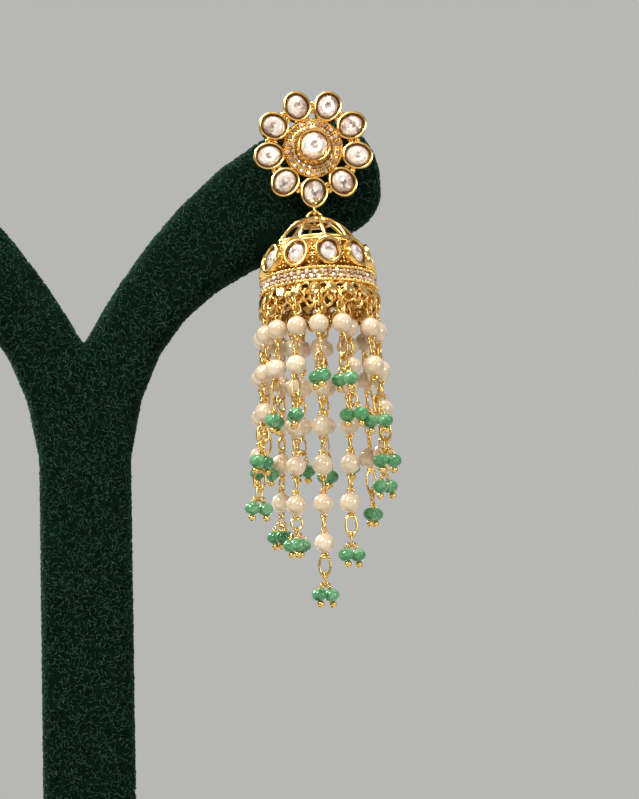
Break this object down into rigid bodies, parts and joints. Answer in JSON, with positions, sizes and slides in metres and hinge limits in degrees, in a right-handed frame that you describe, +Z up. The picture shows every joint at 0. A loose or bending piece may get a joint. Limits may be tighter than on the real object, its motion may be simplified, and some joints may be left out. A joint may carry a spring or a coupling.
{
  "type": "jhumka earring on a display stand",
  "caption": "Bell drop earring with a stone-set flower stud, openwork dome and pearl strands ending in green beads, hung on a flocked Y-shaped stand.",
  "frame": {"origin": "on the table, in the middle of the underside of the stand's base", "axes": "+X to the right along the arm that holds the earring, -Y out of the front face, +Z up"},
  "size_m": [0.0956, 0.066, 0.1403],
  "materials": {
    "flock": "short flocked velvet, matt with a soft sheen",
    "gold": "polished warm gold plate",
    "crystal": "clear faceted stone over foil",
    "pave": "gold plate set with tiny clear stones",
    "pearl": "cream pearl lustre",
    "green_bead": "translucent green glass with soft streaks"
  },
  "bodies": {
    "stand": {"stand_board": "flock", "stand_base": "flock", "flower_setting": "gold", "flower_pave_ring": "pave", "petal_stone_1": "crystal", "petal_stone_2": "crystal", "petal_stone_3": "crystal", "petal_stone_4": "crystal", "petal_stone_5": "crystal", "petal_stone_6": "crystal", "petal_stone_7": "crystal", "petal_stone_8": "crystal", "petal_stone_9": "crystal", "center_stone": "crystal"},
    "link": {"jump_ring": "gold"},
    "bell": {"dome_cage": "gold", "dome_pave_band": "pave", "dome_stone_1": "crystal", "dome_stone_2": "crystal", "dome_stone_3": "crystal", "dome_stone_4": "crystal", "dome_stone_5": "crystal", "dome_stone_6": "crystal", "dome_stone_7": "crystal", "dome_stone_8": "crystal", "dome_stone_9": "crystal", "dome_stone_10": "crystal", "rim_strand_1": "pearl", "rim_strand_2": "pearl", "rim_strand_3": "pearl", "rim_strand_4": "pearl", "rim_strand_5": "pearl", "rim_strand_6": "pearl", "rim_strand_7": "pearl", "rim_strand_8": "pearl", "rim_strand_9": "pearl", "rim_strand_10": "pearl", "rim_strand_11": "pearl", "rim_strand_12": "pearl", "rim_strand_13": "pearl", "rim_strand_14": "pearl", "rim_strand_15": "pearl", "rim_strand_16": "pearl", "inner_strand_1": "pearl", "inner_strand_2": "pearl", "inner_strand_3": "pearl"}
  },
  "joints": [
    {"name": "ring_swing", "type": "hinge", "parent": "stand", "child": "link", "pos_m": [0.036, -0.009, 0.1213], "axis": [-1, 0, 0], "range_deg": [0, 25]},
    {"name": "bell_swing", "type": "hinge", "parent": "link", "child": "bell", "pos_m": [0.036, -0.009, 0.11955], "axis": [0, 1, 0], "range_deg": [-12, 12]}
  ]
}
